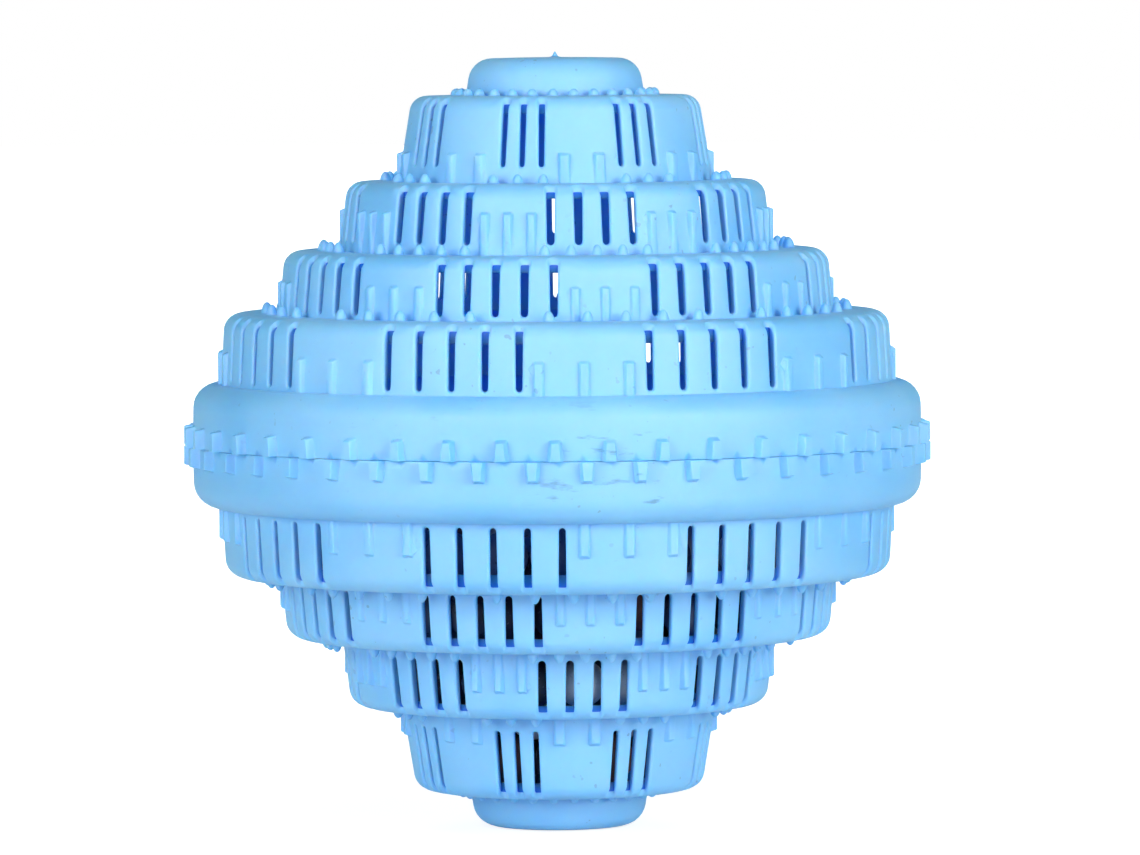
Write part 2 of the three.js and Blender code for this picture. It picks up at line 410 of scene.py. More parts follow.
def fill(border, loops, inside):
    """Triangles over a flat region: its border, the loops that stay open in it and the points inside."""
    parts = [border, *loops, inside]
    flat = np.concatenate([part for part in parts if len(part)])
    edges = []
    owner = np.full(len(flat), -1)
    start = 0
    for number, loop in enumerate([border, *loops]):
        count = len(loop)
        edges += [(start + i, start + (i + 1) % count) for i in range(count)]
        if number > 0:
            owner[start:start + count] = number
        start += count
    made = delaunay_2d_cdt([Vector(p) for p in flat], edges, [], 1, FILL_LIMIT)
    origin = np.array([ids[0] for ids in made[3]])
    faces = origin[np.array(made[2])]
    marks = owner[faces]
    hole = (marks[:, 0] > 0) & (marks[:, 0] == marks[:, 1]) & (marks[:, 0] == marks[:, 2])
    return faces[~hole]


def border_of(low, high, sides):
    """The border of a cell, from its low edge, its high edge and the distances along its sides."""
    right = [(low[-1][0], along) for along in sides]
    left = [(low[0][0], along) for along in reversed(sides)]
    return np.array([*low, *right, *reversed(high), *left])


def patch(skin, border, loops, inside, shape, scale, copies, flip=False, finish=OUTSIDE):
    """Fills one cell of the skin, gives it its shape and repeats it round the axis."""
    stretch = np.array([scale * math.pi / 180.0, 1.0])
    faces = fill(border * stretch, [loop * stretch for loop in loops], inside * stretch)
    flat = np.concatenate([part for part in (border, *loops, inside) if len(part)])
    skin.add(shape(flat[:, 0], flat[:, 1]), faces, copies, flip, finish)


def faces_between(rings, count):
    """Triangles between each ring of points and the next, one array for each pair of rings."""
    here = np.arange(count)
    after = (here + 1) % count
    near = np.stack([here, after, after + count], axis=-1)
    far = np.stack([here, after + count, here + count], axis=-1)
    return [np.concatenate([near, far]) + ring * count for ring in range(rings - 1)]


def circle_arc(angles, start, span):
    """The angles of a ring from a start round one cell, both ends included."""
    offsets = np.unique(np.round((np.asarray(angles) - start) % span, 7))
    offsets = offsets[(offsets > SAME_ANGLE) & (offsets < span - SAME_ANGLE)]
    return start + np.concatenate([[0.0], offsets, [span]])


def even_circle(radius, first):
    """Evenly spaced angles over one sector, at about the mesh spacing."""
    count = max(LEAST_COLUMNS, round(math.radians(SECTOR) * radius / GRID))
    return first + np.arange(count) * SECTOR / count


def joined_circle(base, *special):
    """A ring's angles with special ones put in place of those too close to them."""
    base = np.asarray(base)
    for angles in special:
        angles = np.atleast_1d(angles)
        gap = np.abs(offset(base[:, None], angles[None, :]))
        base = np.concatenate([base[gap.min(axis=1) > COLUMN_GAP], angles])
    return base


class HalfShell:
    """One half shell's mesh, strip by strip from the seam to the end cap."""

    def __init__(self, settings, with_nib):
        self.wall = settings.wall / MM
        self.slot_edge = settings.slot_edge / MM
        self.rib_edge = settings.rib_edge / MM
        self.stud_radius = settings.stud_width / MM / 2
        self.nib_height = settings.nib_height / MM if with_nib else 0.0
        self.skin = Skin()
        self.band = WallCurve(BAND, SEAM_EDGE, BAND.head - BAND.rim - BAND_LEDGE)
        self.steps = []
        base = BAND.ledge
        for wall in STEPS:
            self.steps.append(WallCurve(wall, base, wall.head - wall.rim - STEP_LEDGE))
            base = wall.ledge
        self.cap = WallCurve(CAP, base, CAP.head - CAP.rim - CAP_LEDGE)

    def rib_share(self, ribs, angle, radius, rise, flare=0.0):
        """How much of its reach a rib has at a point: one on the rib and zero beside it."""
        share = np.zeros(np.broadcast(angle, radius).shape)
        half = ribs.width / 2 + flare * np.clip(1.0 - rise / ribs.height, 0.0, 1.0)
        for middle in group_angles(ribs):
            side = np.abs(np.radians(offset(angle, middle))) * radius
            share = np.maximum(share, eased(side / self.rib_edge, half / self.rib_edge))
        return share * eased(rise / self.rib_edge, ribs.height / self.rib_edge)

    def rib_columns(self, ribs, radius, flare=0.0):
        """Angles of the mesh columns across the ribs of one group."""
        outer = FLARED_SIDES if flare else (RIB_SIDE,)
        side = ribs.width / 2 + self.rib_edge * np.array([*RIB_COLUMNS, *outer])
        columns = np.degrees(np.concatenate([-side, [0.0], side]) / radius)
        return (group_angles(ribs)[:, None] + columns[None, :]).ravel()

    def rib_heights(self, ribs):
        """Heights of the mesh rows up a rib, closer together at its rounded top."""
        edge = self.rib_edge
        low = np.arange(GRID, ribs.height - BELOW_RIB_TOP * edge, GRID)
        return np.concatenate([low, ribs.height + edge * np.array(RIB_TOP_ROWS)])

    @staticmethod
    def slot_span(curve):
        """Where a slot's straight sides start and end, along the wall."""
        slots, rim = curve.wall.slots, curve.wall.rim
        low = slots.above / math.cos(curve.lean) + slots.width / 2
        end_turn = math.asin((rim - SLOT_END) / (rim - GROOVE_DEPTH))
        return low, curve.lean_length + rim * (end_turn - curve.lean) - SLOT_CORNER

    def slot_outline(self, curve, rows, edge):
        """One slot's outline, across and along the wall, grown by a share of its rounded edge.

        The slot is widest at its end under the rim, where the edge runs out into a long groove."""
        half = curve.wall.slots.width / 2
        low, high = self.slot_span(curve)
        between = rows[(rows > low + CLEAR_OF_SILL) & (rows < high - CLEAR_OF_FOOT)]
        sides = np.concatenate([[low], between, [high]])
        wide = half * (1.0 - SLOT_TAPER * (high - sides) / (high - low)) + edge * self.slot_edge
        turn = np.linspace(0.0, math.pi, END_STEPS + 1)[1:-1]
        corner = np.sign(np.cos(turn)) * np.abs(np.cos(turn)) ** CORNER_POWER
        top = SLOT_CORNER * np.sin(turn) ** CORNER_POWER + edge * GROOVE_LENGTH * np.sin(turn)
        bottom = wide[0] * np.sin(turn)
        across = np.concatenate([wide, wide[-1] * corner, -wide[::-1], -wide[0] * np.cos(turn)])
        along = np.concatenate([sides, high + top, sides[::-1], low - bottom])
        return across, along

    def inner_outline(self, curve, rows):
        """One slot's outline on the inside: a little wider, and straight under the slot's end face."""
        rim = curve.wall.rim
        across, along = self.slot_outline(curve, rows, 0.0)
        low, high = self.slot_span(curve)
        sill = rim - SLOT_END - curve.wall.slots.face
        turn = math.asin(max(sill / (rim - self.wall), math.sin(curve.lean)))
        end = curve.lean_length + rim * (turn - curve.lean) + min(sill, 0.0)
        share = np.clip((along - low) / (high - low), 0.0, 1.0)
        straight = np.minimum(along, high) - (high - end) * share ** SILL_POWER
        return across + np.sign(across) * SLOT_FLARE, straight

    def slot_loops(self, curve, outline, depth, start):
        """The outlines of a cell's slots on the skin or on the inside, as angles and distances along."""
        across, along = outline
        radius, _ = curve.at(along, depth)
        angle = np.degrees(np.arcsin(across / radius))
        return [self.into_cell(np.stack([middle + angle, along], axis=-1), start)
                for middle in group_angles(curve.wall.slots)]

    def slot_rings(self, curve, rows):
        """The rings of one slot from the skin to the inside, each as across, radius and height.

        Past the rounded edge the slot runs level to its end face, which the inside's outline ends."""
        across, along = self.slot_outline(curve, rows, 0.0)
        in_groove = np.clip((along - along.max()) / curve.wall.slots.width + 1.0, 0.0, 1.0)
        rings = []
        for turn in np.linspace(0.0, math.pi / 2, EDGE_RINGS):
            side, here = self.slot_outline(curve, rows, 1.0 - math.sin(turn))
            rounded = self.slot_edge * (1.0 - math.cos(turn))
            ramp = GROOVE_DEPTH * math.sin(turn) ** GROOVE_RAMP
            rings.append((side, *curve.at(here, rounded + (ramp - rounded) * in_groove)))
        _, lip, height = rings[-1]
        behind, _ = curve.at(np.minimum(along, curve.lean_length), self.wall * SLOT_STRAIGHT)
        behind = np.minimum(behind, lip - FACE_SETBACK)
        rings.append((across + np.sign(across) * SLOT_FLARE * SLOT_STRAIGHT, behind, height))
        side, here = self.inner_outline(curve, rows)
        rings.append((side, *curve.at(here, self.wall)))
        return rings

    def slot_tunnels(self, curve, rows):
        """The rounded edges, the sides and the end faces of one group of slots."""
        rings = self.slot_rings(curve, rows)
        *sides, end = faces_between(len(rings), len(rings[0][0]))
        for middle in group_angles(curve.wall.slots):
            points = np.concatenate([
                ring_points(middle + np.degrees(np.arcsin(across / radius)), radius, height)
                for across, radius, height in rings])
            self.skin.add(points, np.concatenate(sides), GROUPS)
            # The end faces take the deeper blue finish that is painted shade
            self.skin.add(points, end, GROUPS, finish=SHADED_SLOT_END)

    def clear_points(self, angles, rows, curve, depth, edge):
        """Grid points of a wall that stand clear of its slots and ribs."""
        grid = grid_of(angles, rows)
        radius, height = curve.at(grid[:, 1], depth)
        keep = np.ones(len(grid), bool)
        slots, ribs = curve.wall.slots, curve.wall.ribs
        if slots:
            across, along = self.slot_outline(curve, rows, edge)
            reach = across.max() + CLEAR_OF_EDGE
            beside = (grid[:, 1] > along.min() - CLEAR_OF_EDGE) & (grid[:, 1] < along.max() + CLEAR_OF_EDGE)
            for middle in group_angles(slots):
                keep &= ~(beside & (np.abs(np.radians(offset(grid[:, 0], middle))) * radius < reach))
        if ribs and depth == 0.0:
            reach = ribs.width / 2 + RIB_SIDE * self.rib_edge + CLEAR_OF_EDGE
            top = ribs.height + ABOVE_RIB_TOP * self.rib_edge
            for middle in group_angles(ribs):
                beside = np.abs(np.radians(offset(grid[:, 0], middle))) * radius < reach
                keep &= ~(beside & (height - curve.base < top))
        return grid[keep]

    def step_strip(self, curve, foot_circle, edge_circle, start):
        """The outside of one slotted step, with its ribs, and the slots' rounded edges."""
        ribs = curve.wall.ribs
        rows = curve.rows()
        low_angles = circle_arc(foot_circle, start, SECTOR)
        high_angles = circle_arc(edge_circle, start, SECTOR)
        border = border_of(level(low_angles, 0.0), level(high_angles, curve.length), rows[1:-1])
        loops = self.slot_loops(curve, self.slot_outline(curve, rows, 1.0), 0.0, start)
        columns = self.rib_columns(ribs, curve.wall.foot)
        rises = self.rib_heights(ribs) / math.cos(curve.lean)
        grid = self.clear_points(high_angles[1:-1], rows[1:-1], curve, 0.0, 1.0)
        inside = np.concatenate([grid, self.into_cell(grid_of(columns, rises), start)])

        def shape(angle, along):
            radius, height = curve.at(along)
            share = self.rib_share(ribs, angle, radius, height - curve.base)
            return ring_points(angle, radius + np.maximum(ribs.reach - radius, 0.0) * share, height)

        patch(self.skin, border, loops, inside, shape, curve.wall.head, GROUPS)
        self.slot_tunnels(curve, rows)

    @staticmethod
    def into_cell(points, start):
        """Points turned by whole sectors into the cell that starts here, together if they are one slot's."""
        moved = points.copy()
        moved[:, 0] -= math.floor((points[:, 0].mean() - start) / SECTOR) * SECTOR
        if np.ptp(moved[:, 0]) > WIDEST_SLOT:
            moved[:, 0] = start + (points[:, 0] - start) % SECTOR
        return moved

    def step_inside(self, curve, low_circle, edge_circle, start):
        """The inside of one slotted step."""
        low = curve.inner_low(self.wall)
        rows = curve.rows()
        inner_rows = np.concatenate([[low], rows[rows > CLEAR_OF_FOOT]])
        low_angles = circle_arc(low_circle, start, SECTOR)
        high_angles = circle_arc(edge_circle, start, SECTOR)
        border = border_of(level(low_angles, low), level(high_angles, curve.length), inner_rows[1:-1])
        loops = self.slot_loops(curve, self.inner_outline(curve, rows), self.wall, start)
        inside = self.clear_points(low_angles[1:-1], inner_rows[1:-1], curve, self.wall, 0.0)

        def shape(angle, along):
            return ring_points(angle, *curve.at(along, self.wall))

        patch(self.skin, border, loops, inside, shape, curve.wall.head - self.wall, GROUPS, True, INSIDE)

    def stud_grid(self, studs):
        """Angles and radii of the mesh points over the studs of one group, ring by ring."""
        points = []
        for angle in group_angles(studs):
            points.append((angle, studs.radius))
            for share in STUD_RINGS:
                for turn in np.arange(STUD_SIDES) * 2 * math.pi / STUD_SIDES:
                    reach = self.stud_radius * share
                    side = math.degrees(reach * math.sin(turn) / studs.radius)
                    points.append((angle + side, studs.radius + reach * math.cos(turn)))
        return np.array(points)

    def stud_rise(self, studs, angle, radius):
        """Height of the studs over their ledge: upright sides, a rounded top and a small root."""
        rise = np.zeros(len(angle))
        for middle in group_angles(studs):
            side = np.radians(offset(angle, middle)) * studs.radius
            share = np.hypot(side, radius - studs.radius) / self.stud_radius
            dome = np.clip(1.0 - share ** 2.0, 0.0, 1.0) ** STUD_ROUNDING
            root = STUD_ROOT * np.clip((STUD_ROOT_END - share) / STUD_ROOT_WIDTH, 0.0, 1.0) ** 2
            rise = np.maximum(rise, root + (studs.height - STUD_ROOT) * dome)
        return rise

    def ledge_strip(self, height, outer_radius, outer_circle, inner_radii, start, studs, span=SECTOR):
        """The top of one ledge, from the rim behind it to the foot of the next wall, with its studs."""
        outer = circle_arc(outer_circle, start, span)
        inner_angles, inner_radius = inner_radii
        inner = circle_arc(inner_angles, start, span)
        far = inner_radius(inner)
        depth = outer_radius - far.max()
        steps = max(2, math.ceil(depth / GRID))
        sides = np.linspace(0.0, outer_radius - far[0], steps + 1)[1:-1]
        border = border_of(level(outer, 0.0), list(zip(inner, outer_radius - far)), sides)
        grid = grid_of(outer[1:-1], np.linspace(0.0, depth, steps + 1)[1:-1])
        inside = grid
        if studs:
            domes = self.stud_grid(studs)
            domes[:, 1] = outer_radius - domes[:, 1]
            domes[:, 0] = start + (domes[:, 0] - start) % span
            keep = np.ones(len(grid), bool)
            for middle in group_angles(studs):
                side = np.radians(offset(grid[:, 0], middle, span)) * studs.radius
                away = np.hypot(side, outer_radius - grid[:, 1] - studs.radius)
                keep &= away > self.stud_radius * STUD_RINGS[-1] + CLEAR_OF_STUD
            inside = np.concatenate([grid[keep], domes])

        def shape(angle, along):
            radius = outer_radius - along
            rise = self.stud_rise(studs, angle, radius) if studs else np.zeros(len(angle))
            return ring_points(angle, radius, height + rise)

        patch(self.skin, border, [], inside, shape, (outer_radius + far.min()) / 2, round(360 / span))

    def plain_ring(self, low_angles, high_angles, low, high, start, span):
        """A plain ring of the inside between two circles, each given as its radius and height."""
        near = circle_arc(low_angles, start, span)
        far = circle_arc(high_angles, start, span)
        width = math.hypot(low[0] - high[0], low[1] - high[1])
        border = border_of(level(near, 0.0), level(far, width), [])
        rows = np.linspace(0.0, width, max(1, math.ceil(width / (2 * GRID))) + 1)[1:-1]
        inside = grid_of(far[1:-1], rows)

        def shape(angle, along):
            share = along / width
            radius, height = (a + (b - a) * share for a, b in zip(low, high))
            return ring_points(angle, radius, height)

        patch(self.skin, border, [], inside, shape, (low[0] + high[0]) / 2, round(360 / span), True, INSIDE)

    def band_strip(self):
        """The band with its grip pegs, the flat seam edge and the inside; gives the angle it starts at."""
        curve = self.band
        rows = curve.rows()
        start = PEGS.middle - PEG_CELL / 2
        columns = self.rib_columns(PEGS, BAND.foot, PEG_FLARE)
        beside = start + PEG_CELL * np.array(BESIDE_PEG)
        low_angles = circle_arc(np.concatenate([columns, beside, -beside + 2 * PEGS.middle]), start, PEG_CELL)
        high_angles = start + np.linspace(0.0, PEG_CELL, BAND_STEPS + 1)
        border = border_of(level(low_angles, 0.0), level(high_angles, curve.length), rows[1:-1])
        rises = np.concatenate([SEAM_ROUND * np.array(SEAM_ROWS), self.rib_heights(PEGS)])
        upper_rows = rows[:-1][rows[:-1] > rises.max() + CLEAR_OF_EDGE]
        inside = np.concatenate([grid_of(low_angles[1:-1], rises), grid_of(high_angles[1:-1], upper_rows)])

        def peg_reach(angle, radius, rise):
            share = self.rib_share(PEGS, angle, radius, rise, PEG_FLARE)
            past_edge = np.clip(1.0 - rise / SEAM_ROUND, 0.0, 1.0)
            rounding = SEAM_ROUND * (1.0 - np.sqrt(1.0 - past_edge ** 2))
            return radius + (PEGS.reach - radius) * share - rounding

        def shape(angle, along):
            radius, height = curve.at(along)
            rise = np.where(along < rises.max(), height - curve.base, PEGS.height * 2)
            return ring_points(angle, peg_reach(angle, radius, rise), height)

        patch(self.skin, border, [], inside, shape, BAND.foot, PEG_COUNT)

        inner_radius, inner_height = (float(value) for value in curve.at(0.0, self.wall))
        outline = peg_reach(low_angles, np.full(len(low_angles), BAND.foot), np.zeros(len(low_angles)))
        seam = border_of(list(zip(low_angles, PEG_REACH - outline)),
                         level(high_angles, PEG_REACH - inner_radius), [])

        def seam_shape(angle, along):
            radius = PEG_REACH - along
            height = np.interp(radius, [inner_radius, BAND.foot - self.wall / 2], [inner_height, SEAM_EDGE])
            return ring_points(angle, radius, height)

        patch(self.skin, seam, [], np.zeros((0, 2)), seam_shape, BAND.foot, PEG_COUNT, flip=True)

        inner_rows = rows[rows > CLEAR_OF_FOOT][:-1]
        inner_border = border_of(level(high_angles, 0.0), level(high_angles, curve.length), inner_rows)
        inner_grid = grid_of(high_angles[1:-1], inner_rows)

        def inner_shape(angle, along):
            return ring_points(angle, *curve.at(along, self.wall))

        patch(self.skin, inner_border, [], inner_grid, inner_shape, inner_radius, PEG_COUNT, True, INSIDE)
        return start

    def cap_disc(self, ring, radius, height, finish, crown, nib):
        """The flat end of the cap, closed with rings of points, with its crown and the gate's nib."""
        inside = [(0.0, 0.0)]
        for r in (*np.arange(radius - GRID, CAP_CENTRE, -GRID), *CAP_RADII):
            count = max(LEAST_SIDES, round(2 * math.pi * r / GRID))
            turn = np.arange(count) * 2 * math.pi / count
            inside += list(zip(r * np.sin(turn), -r * np.cos(turn)))
        edge = ring_points(ring, radius, 0.0)[:, :2]
        flat = np.concatenate([edge, np.array(inside)])
        faces = fill(edge, [], np.array(inside))
        away = np.hypot(flat[:, 0], flat[:, 1])
        point, foot = (share * np.exp(-(away / width) ** 2) for share, width in (NIB_POINT, NIB_FOOT))
        rise = crown(away) + nib * (point + foot)
        self.skin.add(np.column_stack([flat, height + rise]), faces, flip=finish == INSIDE, finish=finish)

    def cap_strips(self, edge_circle):
        """The studded ledge round the end cap, the cap's wall and its end, outside and inside."""
        curve = self.cap
        start = edge_circle[0]
        ring = start + np.linspace(0.0, CAP_CELL, CAP_STEPS + 1)
        outer = self.steps[-1].inner_end

        def foot(angles):
            return np.full(len(angles), CAP.foot)

        self.ledge_strip(curve.base, outer, ring, (ring, foot), start, CAP_STUDS, CAP_CELL)
        rows = curve.rows()
        flat_radius = CAP.head - CAP.rim

        def crown(radius):
            return CROWN * (1.0 - np.clip(radius / flat_radius, 0.0, 1.0) ** 2)

        for depth, finish in ((0.0, OUTSIDE), (self.wall, INSIDE)):
            low = curve.inner_low(depth)
            used = rows[rows > CLEAR_OF_FOOT][:-1]
            border = border_of(level(ring, low), level(ring, curve.length), used)
            grid = grid_of(ring[1:-1], used)

            def shape(angle, along, depth=depth):
                radius, height = curve.at(along, depth)
                return ring_points(angle, radius, height + crown(radius))

            patch(self.skin, border, [], grid, shape, CAP.head, CAP_STUD_COUNT, finish == INSIDE, finish)
            whole = start + np.arange(CAP_STUD_COUNT * CAP_STEPS) * CAP_CELL / CAP_STEPS
            nib = self.nib_height if depth == 0.0 else 0.0
            self.cap_disc(whole, curve.inner_end, CAP.ledge - depth, finish, crown, nib)
        inner_foot, _ = curve.at(curve.inner_low(self.wall), self.wall)
        height = curve.base - self.wall
        self.plain_ring(ring, ring, (outer, height), (float(inner_foot), height), start, CAP_CELL)

    def tongues(self):
        """The push-fit tongues inside the band, each a rounded bar swept along an arc."""
        inner, outer, reach = TONGUE_INNER, TONGUE_OUTER, TONGUE_REACH
        root = BAND.head - self.wall / 2
        across, lead = TONGUE_LEAD
        below, above = TONGUE_SHOULDER
        section = np.array([
            (inner, reach - TONGUE_CHAMFER), (inner, TONGUE_INNER_LEAD - reach),
            (inner + TONGUE_CHAMFER, -reach), (outer - across, -reach), (outer, lead - reach),
            (outer, below), (root, above), (root, reach), (inner + TONGUE_CHAMFER, reach)])
        count = len(section)
        first = TURN_OVER_ANGLE - 360.0 / TONGUE_COUNT / 4 - TONGUE_SPAN / 2
        angles = first + TONGUE_SPAN * np.arange(TONGUE_STEPS + 1) / TONGUE_STEPS
        points = [ring_points(angle, section[:, 0], section[:, 1]) for angle in angles]
        fan = np.array([(0, i + 1, i) for i in range(1, count - 1)])
        faces = [*faces_between(len(angles), count), fan, fan[:, ::-1] + TONGUE_STEPS * count]
        self.skin.add(np.concatenate(points), np.concatenate(faces), TONGUE_COUNT, flip=True)

    @staticmethod
    def shift_far_side(points):
        """Points of the skin with the far side's groups moved further round."""
        radius = np.hypot(points[:, 0], points[:, 1])
        angle = np.degrees(np.arctan2(points[:, 0], -points[:, 1]))
        away = np.abs(offset(angle, TURN_OVER_ANGLE, 360.0))
        share = smooth((away - SIDE_ANGLE) / (FAR_ANGLE - SIDE_ANGLE))
        shift = np.interp(radius, SHIFT_RADII, FAR_SHIFTS) * share
        return ring_points(angle + shift, radius, points[:, 2])

    def build(self):
        """Every strip from the seam up, with the far side's shift, then the tongues."""
        band_columns = np.arange(PEG_COUNT * BAND_STEPS // GROUPS)
        edge_circle = self.band_strip() + band_columns * 360 / PEG_COUNT / BAND_STEPS
        cap_columns = np.arange(CAP_STEPS * CAP_STUD_COUNT // GROUPS)
        cap_circle = CAP_STUDS.middle - CAP_CELL / 2 + cap_columns * (CAP_CELL / CAP_STEPS)
        edge_radius = self.band.inner_end
        edge_height = BAND.ledge
        studs = None
        for number, curve in enumerate(self.steps):
            last = number == len(self.steps) - 1
            slots, ribs = curve.wall.slots, curve.wall.ribs
            slot_end = group_angles(slots)[-1] + math.degrees(slots.width / curve.wall.head)
            rib_start = group_angles(ribs)[0] - math.degrees(ribs.width / curve.wall.head)
            gap = (rib_start - slot_end) % SECTOR
            strip_start = slot_end + gap / 2
            ledge_start = edge_circle[0] if studs is None else studs.middle + SECTOR / 2
            even = even_circle(curve.wall.foot, strip_start)
            if last:
                strip_start = float(cap_circle[np.abs(offset(cap_circle, strip_start)).argmin()])
            columns = self.rib_columns(ribs, curve.wall.foot)
            foot_circle = joined_circle(even, columns, strip_start, ledge_start)
            inner_circle = joined_circle(even, strip_start, ledge_start)
            next_studs = curve.wall.studs
            if last:
                next_circle = cap_circle
            else:
                ends = [strip_start, next_studs.middle + SECTOR / 2]
                next_circle = joined_circle(even_circle(curve.inner_end, strip_start), *ends)

            def foot(angles, curve=curve, ribs=ribs):
                radius = np.full(len(angles), curve.wall.foot)
                share = self.rib_share(ribs, angles, radius, np.zeros(len(angles)))
                return radius + (ribs.reach - radius) * share

            self.ledge_strip(edge_height, edge_radius, edge_circle, (foot_circle, foot), ledge_start, studs)
            inner_foot, _ = curve.at(curve.inner_low(self.wall), self.wall)
            under = edge_height - self.wall
            self.plain_ring(edge_circle, inner_circle, (edge_radius, under), (float(inner_foot), under),
                            ledge_start, SECTOR)
            self.step_strip(curve, foot_circle, next_circle, strip_start)
            self.step_inside(curve, inner_circle, next_circle, strip_start)
            edge_circle = next_circle
            edge_radius = curve.inner_end
            edge_height = curve.wall.ledge
            studs = next_studs
        self.cap_strips(edge_circle)
        self.skin.points = [self.shift_far_side(points) for points in self.skin.points]
        self.tongues()
        return self.skin


class Wire:
    """A socket of a material's nodes: Python's operators on it add Math nodes, and node() any other."""

    def __init__(self, tree, socket=None):
        self.tree = tree
        self.socket = socket

    def node(self, kind, settings=None, sockets=None, out=0):
        """A new node: its settings are set first, then the values or links of its sockets."""
        made = self.tree.nodes.new(kind)
        for key, value in (settings or {}).items():
            setattr(made, key, value)
        for key, value in (sockets or {}).items():
            self.feed_socket(made.inputs[key], value)
        return Wire(self.tree, made.outputs[out])

    @staticmethod
    def feed_socket(socket, value):
        """Links a wire to a socket, or sets the socket's plain value."""
        if isinstance(value, Wire):
            value.tree.links.new(value.socket, socket)
        else:
            socket.default_value = value

    def maths(self, operation, *values):
        return self.node("ShaderNodeMath", {"operation": operation}, dict(enumerate(values)))

    def __add__(self, other):
        return self.maths("ADD", self, other)

    __radd__ = __add__

    def __sub__(self, other):
        return self.maths("SUBTRACT", self, other)

    def __rsub__(self, other):
        return self.maths("SUBTRACT", other, self)

    def __mul__(self, other):
        return self.maths("MULTIPLY", self, other)

    __rmul__ = __mul__

    def between(self, low, high):
        """Zero below low and one above high, with a straight rise between them."""
        sockets = {"Value": self, "From Min": low, "From Max": high}
        return self.node("ShaderNodeMapRange", {"clamp": True}, sockets)

    def mix(self, factor, first, second):
        """A mix of two colours."""
        settings = {"data_type": "RGBA", "clamp_factor": True}
        return self.node("ShaderNodeMix", settings, {0: factor, 6: first, 7: second}, out=2)


def opaque(colour):
    return (*colour, 1.0)


def new_material(name):
    """An empty node material: its wire, its shader node and the place on the object."""
    material = bpy.data.materials.new(name)
    material.use_nodes = True
    tree = material.node_tree
    shader = tree.nodes["Principled BSDF"]
    wire = Wire(tree)
    place = wire.node("ShaderNodeTexCoord", out=3)
    return material, wire, shader, place


def feed(shader, **values):
    """Gives a shader's sockets, named with underscores for spaces, their values or links."""
    for name, value in values.items():
        Wire.feed_socket(shader.inputs[name.replace("_", " ")], value)


def noise(wire, place, scale, detail=2.0, roughness=0.5):
    sockets = {"Vector": place, "Scale": scale, "Detail": detail, "Roughness": roughness}
    return wire.node("ShaderNodeTexNoise", None, sockets)


# The plastic's paler and deeper mottling, its specks and scuffs with their strength, and where the scuffs
# fade out above and below the seam, in metres
MOTTLE_PALER = 0.10
MOTTLE_DEEPER = (0.86, 0.93, 0.99)
SPECK_COLOUR = (0.10, 0.22, 0.36)
SPECK_STRENGTH = 0.5
SCUFF_COLOUR = (0.07, 0.20, 0.34)
SCUFF_STRENGTH = 0.6
SCUFFED_BAND = (0.006, 0.0085)

# The ceramic's darker clouds and the strength of its specks
CLOUD_SHADE = 0.78
CERAMIC_SPECKS = 0.55

WHITE = (1.0, 1.0, 1.0, 1.0)


def plastic_material(name, plain, radius, scale, gloss, glow):
    """Soft plastic that light passes into: mottling, fine grain, specks, a few scuffs on the band and a
    painted glow.
    """
    material, wire, shader, place = new_material(name)
    colour = opaque(plain)
    paler = opaque([c + (1.0 - c) * MOTTLE_PALER for c in plain])
    deeper = opaque([c * f for c, f in zip(plain, MOTTLE_DEEPER)])
    mottle = noise(wire, place, scale=55.0, detail=3.0).between(0.35, 0.65)
    tone = wire.mix(mottle, deeper, paler)
    base = wire.mix(0.5, colour, tone)

    specks = noise(wire, place, scale=900.0, detail=1.0).between(0.72, 0.75)
    patches = noise(wire, place, scale=60.0, detail=1.0).between(0.5, 0.65)
    dust = specks * patches * SPECK_STRENGTH
    base = wire.mix(dust, base, opaque(SPECK_COLOUR))

    height = wire.node("ShaderNodeSeparateXYZ", None, {"Vector": place}, out=2)
    from_seam = wire.maths("ABSOLUTE", height - SEAM_HEIGHT)
    on_band = 1.0 - from_seam.between(*SCUFFED_BAND)
    stretched = wire.node("ShaderNodeMapping", None, {"Vector": place, "Scale": (1.0, 1.0, 4.0)})
    scuff = noise(wire, stretched, scale=170.0, detail=4.0, roughness=0.65).between(0.60, 0.70)
    where = noise(wire, place, scale=28.0, detail=1.0).between(0.52, 0.62)
    scuffs = scuff * where * on_band * SCUFF_STRENGTH
    base = wire.mix(scuffs, base, opaque(SCUFF_COLOUR))

    grain = noise(wire, place, scale=2600.0, detail=2.0)
    waves = noise(wire, place, scale=130.0, detail=2.0)
    relief = grain * 0.25 + waves
    bump = wire.node("ShaderNodeBump", None, {"Height": relief, "Strength": 0.10, "Distance": 0.0004})
    rough = 0.55 + mottle * 0.10 + scuffs * 0.3
    # The emission is painted light: a glow in place of light that the plastic lets through
    feed(shader, Base_Color=base, Roughness=rough, Normal=bump, IOR=1.58, Specular_IOR_Level=gloss,
         Emission_Color=opaque(glow), Emission_Strength=1.0,
         Subsurface_Weight=1.0, Subsurface_Radius=radius, Subsurface_Scale=scale)
    return material


def ceramic_material(name, colour, speck_colour):
    """Matte fired ceramic: cloudy body, fine specks and a slightly rough skin."""
    material, wire, shader, place = new_material(f"{name}_ceramic")
    cloud = noise(wire, place, scale=240.0, detail=4.0, roughness=0.6).between(0.3, 0.7)
    darker = opaque([c * CLOUD_SHADE for c in colour])
    base = wire.mix(cloud, darker, opaque(colour))
    specks = noise(wire, place, scale=1700.0, detail=1.0).between(0.66, 0.71)
    base = wire.mix(specks * CERAMIC_SPECKS, base, opaque(speck_colour))
    relief = noise(wire, place, scale=1500.0, detail=3.0)
    bump = wire.node("ShaderNodeBump", None, {"Height": relief, "Strength": 0.25, "Distance": 0.0003})
    rough = 0.52 + cloud * 0.16
    feed(shader, Base_Color=base, Roughness=rough, Normal=bump)
    return material


def own_material(piece, *materials):
    """Gives a piece its materials without touching the faces' choice between them."""
    for material in materials:
        piece.data.materials.append(material)


